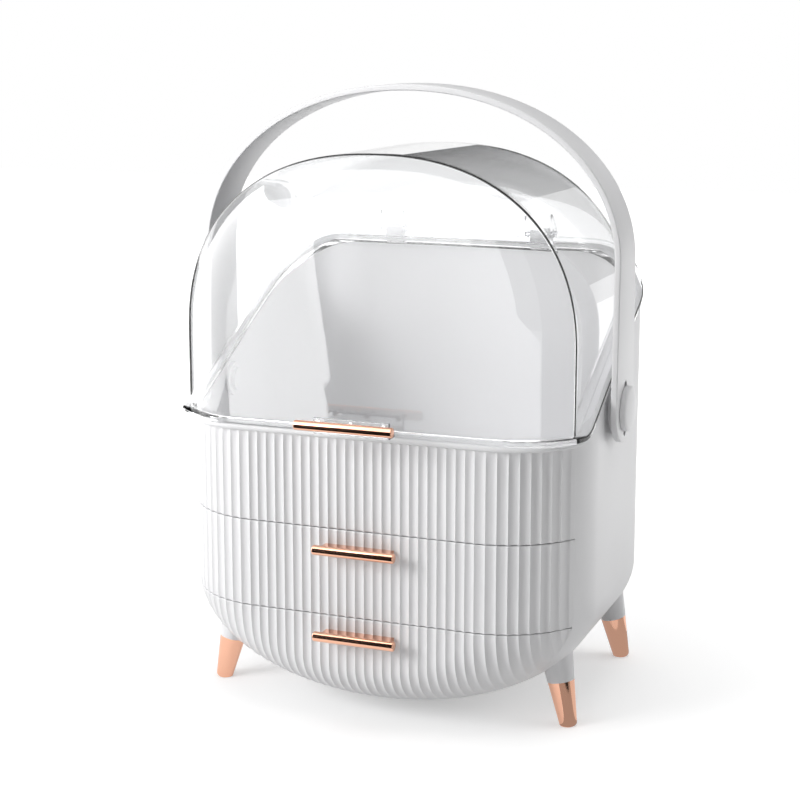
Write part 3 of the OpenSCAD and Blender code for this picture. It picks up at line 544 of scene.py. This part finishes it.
def flange_loop():
    """The flange's outer edge with one point for each foot point of the lid."""
    h, front, back, rf, rr = HALF + 1.6, FRONT - 3, REAR + 2, 45.0, REAR_R + 2
    stations = lid_stations(0.0)
    n_front = 1 + sum(y < CORNER_Y - 1 and w < LID_HALF - 1e-6 for w, _, y in stations)
    y_side, y_rear = stations[n_front - 1][2], LID_REAR - LID_REAR_R
    right = []
    for i, (w, _, y) in enumerate(stations):
        if i < n_front:
            a = CORNER_TURN * i / (n_front - 1)
            right.append((h - rf + rf * math.sin(a), front + rf - rf * math.cos(a)))
        elif y <= y_rear + 1e-6:
            y_first = right[n_front - 1][1]
            y_here = y_first + (back - rr - y_first) * (y - y_side) / (y_rear - y_side)
            a = math.acos(max(-1, min(1, (front + rf - y_here) / rf)))
            on_corner = y_here < front + rf
            right.append((h - rf + rf * math.sin(a) if on_corner else h, y_here))
        else:
            a = math.acos(max(-1, min(1, 1 - (LID_HALF - w) / LID_REAR_R)))
            right.append((h - rr + rr * math.cos(a), back - rr + rr * math.sin(a)))
    rear_edge = [((h - rr) * t, back) for t in ACROSS]
    front_edge = [((h - rf) * t, front) for t in ACROSS[::-1]]
    return right + rear_edge + [(-x, y) for x, y in right[::-1]] + front_edge


def clear_piece(b, name, **kw):
    """Finishes a clear piece of the lid. It casts no shadow, as thin clear plastic hardly does."""
    b.done(name, "lid", "clear", CLEAR, **kw).visible_shadow = False


def clear_lid():
    """The dome's outer and inner skins, closed at their feet by the flange's section."""
    b = Build()
    feet = []
    for inset, foot in ((0.0, FLANGE_H), (CLEAR_T, LID_GAP)):
        rows = [arch_row(w, rise, y, rim(y) + foot) for w, rise, y in lid_stations(inset)]
        b.rows(rows)
        front_foot, rear_foot = [[(-r[0][0] * t, r[0][1], r[0][2]) for t in ACROSS]
                                 for r in (rows[0], rows[-1])]
        b.face(rows[0] + front_foot)
        b.face(rows[-1] + rear_foot)
        feet.append([r[0] for r in rows] + rear_foot[::-1] + [r[-1] for r in rows[::-1]]
                    + front_foot)
    # The flange's section: share of the way to its outer edge, height over the rim
    section = ((0.22, 4.0), (0.8, 4.0), (0.93, 3.8), (1.0, 3.2), (1.0, 1.0), (0.93, 0.4),
               (0.8, LID_GAP))
    outline = flange_loop()
    flange = [[(x, y, rim(y) + dz) for x, y in blend_loops(feet[0], outline, t)]
              for t, dz in section]
    b.rows([feet[0]] + flange + [feet[1]], close_u=True)
    clear_piece(b, "clear_lid", replaces=("lid_dome",), sharp=20)


def hinge_ears():
    """Two thin clear ears on each hinge knuckle."""
    outline = ([(LID_REAR + 0.05, RIM_BACK_Z + 4.2), (REAR + 1, RIM_BACK_Z + 4.2)]
               + fillet(BARREL_R, -70, 20, HINGE_Y, HINGE_Z, 6)
               + [(LID_REAR + 1.2, HINGE_Z + 14), (LID_REAR + 0.05, HINGE_Z + 14)])
    for s, side in SIDES:
        for e, letter in ((-1, "a"), (1, "b")):
            x = s * HINGE_X + e * (HINGE_W - EAR_T) / 2
            b = Build()
            b.prism(outline, across, x - 0.7, x + 0.7)
            clear_piece(b, "hinge_ear_%s_%s" % (side, letter))


def clear_bracket():
    """The lid's bracket: a foot and a lip, with three pegs that hold the bar."""
    b = Build()
    rounded_box(b, BRACKET_HALF, -106, -96.1, RIM_Z + 1, RIM_Z + 4, 0.5)
    rounded_box(b, BRACKET_HALF, -106.2, -103.6, RIM_Z + 4.02, RIM_Z + 11.4, 0.6)
    for x in (-22, 0, 22):
        b.lathe([(0, 0), (1.6, 0), (1.6, 10.5), (0, 10.5)],
                lambda u, v, w, x=x: (x + u, -106.3 - w, LID_PULL_Z + v), n=24)
    clear_piece(b, "clear_bracket", replaces=("lid_pull_bracket",))


# ---- Handle and buttons ----

def strip_half(z):
    """Half width of the handle's strip at a height, from its ends up to its top."""
    end, top = HANDLE_END_W / 2, HANDLE_Z + HANDLE_RISE
    return end + (HANDLE_TOP_W / 2 - end) * (z - PIVOT_Z) / (top - PIVOT_Z)


def handle_line():
    """The strip's middle line as (x, z, half width), with round ends about the pivots."""
    mid, end = HANDLE_T / 2, HANDLE_END_W / 2
    x = HANDLE_HALF - mid
    line = [(x, PIVOT_Z - end * math.cos(a), end * math.sin(a))
            for a in np.linspace(0, QUARTER, 16)]
    line += [(x, z, strip_half(z)) for z in np.linspace(PIVOT_Z, HANDLE_Z, 16)[1:]]
    for a in (math.pi * (i / 160) for i in range(1, 81)):
        z = HANDLE_Z + (HANDLE_RISE - mid) * power(math.sin(a), HANDLE_N)
        line.append((x * power(math.cos(a), HANDLE_N), z, strip_half(z)))
    return line + [(-x, z, w) for x, z, w in line[-2::-1]]


def handle_rings():
    """The strip's sections: rectangles with rounded corners across its middle line."""
    line = handle_line()
    mid, upright = HANDLE_T / 2, 30
    rings = []
    for i, (x, z, w) in enumerate(line):
        p, q = line[max(0, i - 1)], line[min(len(line) - 1, i + 1)]
        tx, tz = q[0] - p[0], q[1] - p[1]
        if i < upright or i > len(line) - 1 - upright:
            tx, tz = 0.0, 1.0 if i < upright else -1.0
        length = math.hypot(tx, tz)
        nx, nz = tz / length, -tx / length
        w = max(w, 0.02)
        c = min(HANDLE_EDGE, w * 0.8)
        u, v = w - c, mid - HANDLE_EDGE
        ring = []
        for u0, v0, a0 in ((u, v, 0), (-u, v, 90), (-u, -v, 180), (u, -v, 270)):
            for a in (math.radians(a0 + 90 * k / 4) for k in range(5)):
                out = v0 + HANDLE_EDGE * math.sin(a)
                ring.append((x + nx * out, PIVOT_Y + u0 + c * math.cos(a), z + nz * out))
        rings.append(ring)
    return rings


def slot_cutter():
    """The keyhole slots in the handle's two ends, as a tool for a boolean."""
    reach = SLOT_HALF - SLOT_R
    outline = fillet(SLOT_R, 0, 180, 0, reach, 12) + fillet(SLOT_R, 180, 360, 0, -reach, 12)
    cutter = Build()
    for lo, hi in ((-152, -140), (140, 152)):
        cutter.prism(outline, lambda u, v, w: (w, PIVOT_Y + u, PIVOT_Z + v), lo, hi)
    tool, me = mesh_object("slot_cut", in_metres(cutter.v), cutter.f)
    bm = bmesh.new()
    bm.from_mesh(me)
    bmesh.ops.remove_doubles(bm, verts=bm.verts, dist=1e-6)
    bmesh.ops.recalc_face_normals(bm, faces=bm.faces)
    bm.to_mesh(me)
    bm.free()
    return tool


def arch_handle():
    rings = handle_rings()
    b = Build()
    b.rows(rings, close_u=True)
    for end in (0, -1):
        b.face(rings[end])
    ob = b.done("arch_handle", "handle", "white_shell", WHITE, replaces=("carry_handle",),
                sharp=50)
    cut = ob.modifiers.new("slots", "BOOLEAN")
    cut.object = slot_cutter()
    cut.operation = "DIFFERENCE"
    cut.solver = "EXACT"
    result = ob.evaluated_get(bpy.context.evaluated_depsgraph_get())
    baked = bpy.data.meshes.new_from_object(result)
    tool = cut.object
    ob.modifiers.clear()
    ob.data = baked
    bpy.data.objects.remove(tool)
    baked.set_sharp_from_angle(angle=math.radians(45))


def pivot_button(s, side):
    """A domed round button on its shaft."""
    profile = [(0, -1.0), (BUTTON_R - 1.0, -1.0), (BUTTON_R - 1.0, 0.0), (BUTTON_R - 0.2, 0.0),
               (BUTTON_R, 0.2)]
    profile += fillet(0.7, 0, 62, BUTTON_R - 0.7, BUTTON_H - 2.3, 5)
    profile += [(BUTTON_R * t, BUTTON_H - 1.5 * t ** 2.6)
                for t in (0.93, 0.86, 0.75, 0.6, 0.45, 0.3, 0.15, 0.0)]
    place = along_x(s * (HANDLE_HALF + 0.15), PIVOT_Y, PIVOT_Z, s)
    b = Build()
    b.lathe(profile, place, n=96)
    b.lathe([(0, -16), (SHAFT_R, -16), (SHAFT_R, -0.9), (0, -0.9)], place, n=48)
    b.done("pivot_button_" + side, "box", "white_shell", WHITE,
           replaces=(side + "_pivot_button",))


# ---- Everything together ----

housing_moulding()
for s, side in SIDES:
    pivot_boss(s, side)
    hinge_knuckle(s, side)
rim_bead()
gap = SEAM / 3
for name, z0, z1, rows, node_name, body in (
        ("fluted_panel", UPPER_TOP + gap, PANEL_TOP - 0.1, 14, "upper_front_panel", "box"),
        ("fluted_upper_front", LOWER_TOP + gap, UPPER_TOP - gap, 16, "upper_drawer_front",
         "upper_drawer"),
        ("fluted_lower_front", 0.0, LOWER_TOP - gap, 60, "lower_drawer_front", "lower_drawer")):
    fluted(name, z0, z1, rows, node_name, body)
pulls()
clear_lid()
hinge_ears()
clear_bracket()
arch_handle()
for s, side in SIDES:
    pivot_button(s, side)

CORNERS = ("front_left", "front_right", "rear_left", "rear_right")
for names, material in (
        (("top_deck", "middle_shelf", "upper_drawer_tray", "lower_drawer_tray", "pivot_nuts"),
         INNER),
        (["leg_" + c for c in CORNERS], WHITE),
        (["cap_" + c for c in CORNERS], ROSE),
        (("upper_pull_screws", "lower_pull_screws", "hinge_pins", "leg_screws"), STEEL),
        (("friction_washers",), RUBBER)):
    for n in names:
        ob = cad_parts[n]
        ob.data.materials.clear()
        ob.data.materials.append(material)


# ---- Floor, world, lights and camera (in metres) ----

# The light that the floor adds for the eye near the object. The world's light on the object,
# where the eye sees 1 as white. How far towards 1 it goes where it falls in through the lid
FLOOR_LIFT, AMBIENT, INSIDE = 0.42, 0.52, 0.5
FLOOR_HALF, FADE_FROM, FADE_TO = 4, 0.2, 0.7
AIM = (0, 0, 0.2)


def math_node(nt, operation, a, b):
    """A Math node of two values, each a number or another node's output."""
    n = node(nt, "Math", operation=operation)
    for socket, value in zip(n.inputs, (a, b)):
        if isinstance(value, (int, float)):
            socket.default_value = value
        else:
            nt.links.new(value, socket)
    return n.outputs[0]


def seen(nt):
    """1 where the eye sees a thing straight, in a reflection or through the lid, 0 for bounces."""
    path = node(nt, "LightPath").outputs
    straight = math_node(nt, "MAXIMUM", path["Is Camera Ray"], path["Is Glossy Ray"])
    straight = math_node(nt, "MAXIMUM", straight, path["Is Transmission Ray"])
    direct = math_node(nt, "LESS_THAN", path["Diffuse Depth"], 0.5)
    return math_node(nt, "MULTIPLY", straight, direct)


def plane(name, corners, material):
    ob, me = mesh_object(name, corners, [tuple(range(len(corners)))])
    me.materials.append(material)
    return ob


def floor():
    """A pale floor that keeps the object's shadow and fades to white around it."""
    m, nt, b = nodes_of("pale_floor")
    b.inputs["Base Color"].default_value = (0.75, 0.75, 0.75, 1)
    b.inputs["Roughness"].default_value = 0.9
    b.inputs["Specular IOR Level"].default_value = 0.0
    far = node(nt, "VectorMath", operation="LENGTH")
    nt.links.new(node(nt, "TexCoord").outputs["Object"], far.inputs[0])
    fade = node(nt, "MapRange", interpolation_type="SMOOTHSTEP")
    fade.inputs["From Min"].default_value = FADE_FROM
    fade.inputs["From Max"].default_value = FADE_TO
    fade.inputs["To Min"].default_value = FLOOR_LIFT
    nt.links.new(far.outputs["Value"], fade.inputs["Value"])
    lift, add = node(nt, "Emission"), node(nt, "AddShader")
    nt.links.new(math_node(nt, "MULTIPLY", seen(nt), fade.outputs["Result"]),
                 lift.inputs["Strength"])
    nt.links.new(b.outputs[0], add.inputs[0])
    nt.links.new(lift.outputs[0], add.inputs[1])
    nt.links.new(add.outputs[0], nt.nodes["Material Output"].inputs["Surface"])
    f = FLOOR_HALF
    plane("floor", [(-f, -f, 0), (f, -f, 0), (f, f, 0), (-f, f, 0)], m)


def studio_world():
    """An even world: white for the eye, plain for the object."""
    world = bpy.data.worlds.new("studio")
    bpy.context.scene.world = world
    world.use_nodes = True
    nt = world.node_tree
    level = node(nt, "MapRange")
    level.inputs["To Min"].default_value = AMBIENT
    level.inputs["To Max"].default_value = 1.0
    through = node(nt, "LightPath").outputs["Is Transmission Ray"]
    inside = math_node(nt, "MULTIPLY", through, INSIDE)
    nt.links.new(math_node(nt, "MAXIMUM", inside, seen(nt)), level.inputs["Value"])
    nt.links.new(level.outputs["Result"], nt.nodes["Background"].inputs["Strength"])
    nt.nodes["Background"].inputs["Color"].default_value = (1, 1, 1, 1)


def lamp(name, pos, size, watts):
    """A square soft lamp that reflections and the clear lid don't show."""
    data = bpy.data.lights.new(name, "AREA")
    data.shape = "RECTANGLE"
    data.size = data.size_y = size
    data.energy = watts
    ob = bpy.data.objects.new(name, data)
    ob.location = pos
    ob.rotation_euler = (Vector(AIM) - Vector(pos)).to_track_quat("-Z", "Y").to_euler()
    bpy.context.scene.collection.objects.link(ob)
    ob.visible_glossy = ob.visible_transmission = False


def card(name, corners, strength, metal_only=False):
    """A studio card: it shows in reflections and bent edges and lights nothing.

    A card for metal only is skipped by the clear lid, whose reflections are perfectly sharp.
    """
    m = bpy.data.materials.new(name)
    m.use_nodes = True
    nt = m.node_tree
    nt.nodes.remove(nt.nodes["Principled BSDF"])
    path = node(nt, "LightPath").outputs
    skip = math_node(nt, "GREATER_THAN", path["Diffuse Depth"], 0.5)
    if metal_only:
        skip = math_node(nt, "MAXIMUM", skip, path["Is Singular Ray"])
    glow, clear, mix = node(nt, "Emission"), node(nt, "BsdfTransparent"), node(nt, "MixShader")
    glow.inputs["Strength"].default_value = strength
    for socket, value in zip(mix.inputs, (skip, glow.outputs[0], clear.outputs[0])):
        nt.links.new(value, socket)
    nt.links.new(mix.outputs[0], nt.nodes["Material Output"].inputs["Surface"])
    ob = plane(name, corners, m)
    ob.visible_camera = ob.visible_diffuse = ob.visible_shadow = False


def wall(x0, y0, x1, y1, z0, z1):
    """Corners of an upright card from one place on the floor plan to another."""
    return [(x0, y0, z0), (x1, y1, z0), (x1, y1, z1), (x0, y0, z1)]


def sheet(x0, y0, x1, y1, z):
    """Corners of a level card."""
    return [(x0, y0, z), (x1, y0, z), (x1, y1, z), (x0, y1, z)]


# The outlines of two cards, one upright and one level, and two heights just over the floor,
# where cards lie or begin
VEIL_Y = -0.45
VEIL = ((-0.105, 0.0), (0.55, 0.0), (0.52, 0.2), (0.264, 0.278), (0.264, 0.75), (-0.105, 0.75),
        (-0.15, 0.5), (-0.19, 0.33), (-0.195, 0.27), (-0.175, 0.13), (-0.15, 0.06))
DARK_TABLE = ((0.205, -0.13), (0.585, -0.43), (0.72, -0.097), (0.235, -0.07))
LOW, LOWEST = 0.001, 0.0005


def cards():
    """Stand-ins for the studio whose panels the metal and the clear lid reflect in the photo."""
    card("veil_front", [(x, VEIL_Y, z) for x, z in VEIL], 2.6)
    card("dark_near", wall(-0.26, -0.2, 0.12, -0.2, 0.02, 0.235), 0.01, metal_only=True)
    for name, corners, strength in (
            ("bright_left_front", wall(-0.17, -0.46, -0.95, -0.9, LOW, 1.0), 6.5),
            ("bright_left", wall(-0.95, -0.9, -0.95, 0.15, LOW, 1.0), 5.0),
            ("grey_right", wall(0.56, -0.45, 1.1, 0.8, LOW, 1.2), 0.5),
            ("bright_over", sheet(-0.5, -0.49, 0.3, -0.12, 0.8), 2.6),
            ("grey_over", sheet(-0.6, -0.12, 0.6, 1.0, 0.82), 0.4),
            ("dark_behind", wall(-1.2, 1.5, 0.138, 1.5, 0.56, 1.6), 0.02),
            ("grey_behind", wall(0.138, 1.5, 1.4, 1.5, 0.3, 1.6), 0.5),
            ("dark_far_left", wall(-0.75, 0.75, -1.09, 0.36, LOW, 0.32), 0.02),
            ("grey_table", sheet(0.12, -0.2, 0.32, -0.03, LOWEST), 0.45),
            ("pale_table", sheet(0.12, -0.03, 0.35, 0.06, LOWEST), 0.85),
            ("grey_table_rear", sheet(0.05, 0.06, 0.35, 0.16, LOWEST), 0.55),
            ("dark_table", [(x, y, LOW) for x, y in DARK_TABLE], 0.02)):
        card(name, corners, strength)


def black_cloth():
    """A cloth on the front right that only shades the plain light, for the darker right side."""
    m, _, b = nodes_of("black_cloth")
    b.inputs["Base Color"].default_value = (0.02, 0.02, 0.02, 1)
    b.inputs["Specular IOR Level"].default_value = 0.0
    ob = plane("flag_right_front", wall(0.35, -1.8, 1.75, -0.2, 0.0, 2.6), m)
    ob.visible_camera = ob.visible_glossy = ob.visible_transmission = ob.visible_shadow = False


# The camera that was fitted to the photo: its frame and focal length in pixels, how far the
# middle of the picture lies from its axis, where it stands, and where it looks in degrees
FRAME, FOCAL, RAISE = 800, 1738.84, -48.56
CAMERA_AT, AZIMUTH, ELEVATION = (0.4128, -1.0833, 0.4426), 21.23, 10.22
SENSOR = 36.0


def camera():
    data = bpy.data.cameras.new("camera")
    data.sensor_fit = "HORIZONTAL"
    data.sensor_width = SENSOR
    data.lens = FOCAL / FRAME * SENSOR
    data.shift_y = RAISE / FRAME
    data.clip_start, data.clip_end = 0.05, 50
    ob = bpy.data.objects.new("camera", data)
    bpy.context.scene.collection.objects.link(ob)
    az, el = math.radians(AZIMUTH), math.radians(ELEVATION)
    back = Vector((math.sin(az) * math.cos(el), -math.cos(az) * math.cos(el), math.sin(el)))
    right = Vector((math.cos(az), math.sin(az), 0))
    m = Matrix((right, back.cross(right), back)).transposed().to_4x4()
    m.translation = Vector(CAMERA_AT)
    ob.matrix_world = m
    bpy.context.scene.camera = ob


floor()
studio_world()
lamp("key_left", (-1.3, -1.3, 0.9), 0.9, 22.9)
lamp("side_right", (1.6, 0.7, 0.9), 1.0, 5.5)
lamp("top", (0.0, 0.1, 1.9), 1.4, 12)
cards()
black_cloth()
camera()
bpy.context.scene.view_settings.view_transform = "Standard"
